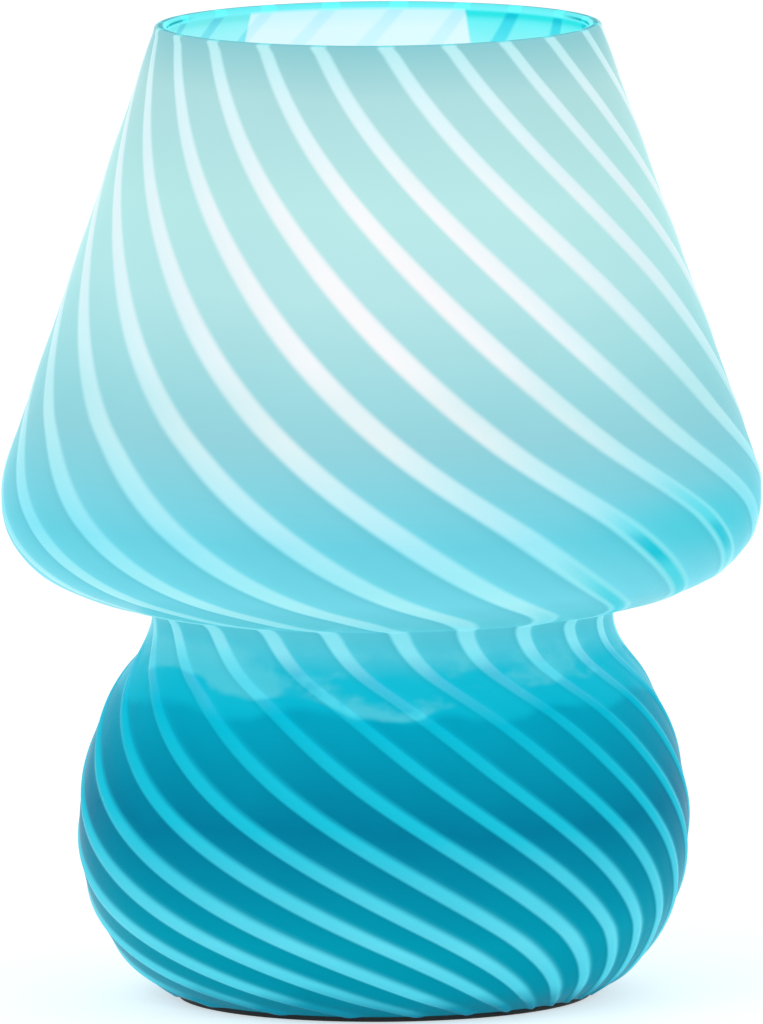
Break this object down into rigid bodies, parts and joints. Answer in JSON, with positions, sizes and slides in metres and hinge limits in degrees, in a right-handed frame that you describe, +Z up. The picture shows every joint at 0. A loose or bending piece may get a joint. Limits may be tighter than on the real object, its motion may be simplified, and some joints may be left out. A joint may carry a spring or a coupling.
{
  "type": "bedside lamp",
  "caption": "Bedside lamp of blown striped glass: an open conical shade runs through a narrow throat into a round base, round a screw-in globe bulb on a stem.",
  "frame": {"origin": "centre of the underside, on the surface that the lamp stands on", "axes": "+Z up along the lamp's axis; +Y towards the back, where the flex goes in; -Y is the side in the picture"},
  "size_m": [0.1814, 0.1814, 0.2325],
  "materials": {
    "striped_glass": "blown opal glass, turquoise with paler twisted stripes, gloss",
    "black_rubber": "matt",
    "zinc_steel": "zinc plated, satin",
    "white_paint": "satin white",
    "white_plastic": "semi-gloss white",
    "core_plastic": "matt moulding",
    "brass": "plain",
    "nickel": "nickel plated",
    "black_plastic": "plain",
    "opal_glass": "opal white, lit from inside",
    "clear_glass": "clear",
    "phosphor": "yellow phosphor coat",
    "board_green": "coated board"
  },
  "bodies": {
    "lamp": {"glass_body": "striped_glass", "foot_ring": "black_rubber", "cord_grommet": "black_rubber", "bottom_gasket": "black_rubber", "clamp_gasket": "black_rubber", "cap_entry_bush": "black_rubber", "stem_rod": "zinc_steel", "bottom_plate": "zinc_steel", "bottom_washer": "zinc_steel", "bottom_nut": "zinc_steel", "clamp_plate": "zinc_steel", "clamp_washer": "zinc_steel", "clamp_nut": "zinc_steel", "holder_nut": "zinc_steel", "cap_lock_screw": "zinc_steel", "core_screws": "zinc_steel", "terminal_screws": "zinc_steel", "stem_foot": "white_paint", "stem_cover": "white_paint", "holder_cap": "white_plastic", "holder_skirt": "white_plastic", "holder_core": "core_plastic", "terminal_clamps": "brass", "centre_contact": "brass", "shell_contact": "brass", "thread_shell": "brass"},
    "bulb_contact": {"bulb_eyelet": "nickel", "bulb_insulator": "black_plastic"},
    "bulb": {"bulb_cap": "nickel", "bulb_globe": "opal_glass", "filament_stem": "clear_glass", "filament_wires": "nickel", "filaments": "phosphor", "driver_board": "board_green", "driver_parts": "black_plastic"}
  },
  "joints": [
    {"name": "bulb_lift", "type": "slide", "parent": "lamp", "child": "bulb_contact", "axis": [0, 0, 1], "range_m": [0, 0.01412]},
    {"name": "bulb_turn", "type": "hinge", "parent": "bulb_contact", "child": "bulb", "pos_m": [0, 0, 0.1], "axis": [0, 0, 1], "range_deg": [0, 1800]}
  ],
  "couplings": [
    {"joint": "bulb_lift", "follows": "bulb_turn", "m_per_rad": 0.00044913}
  ]
}
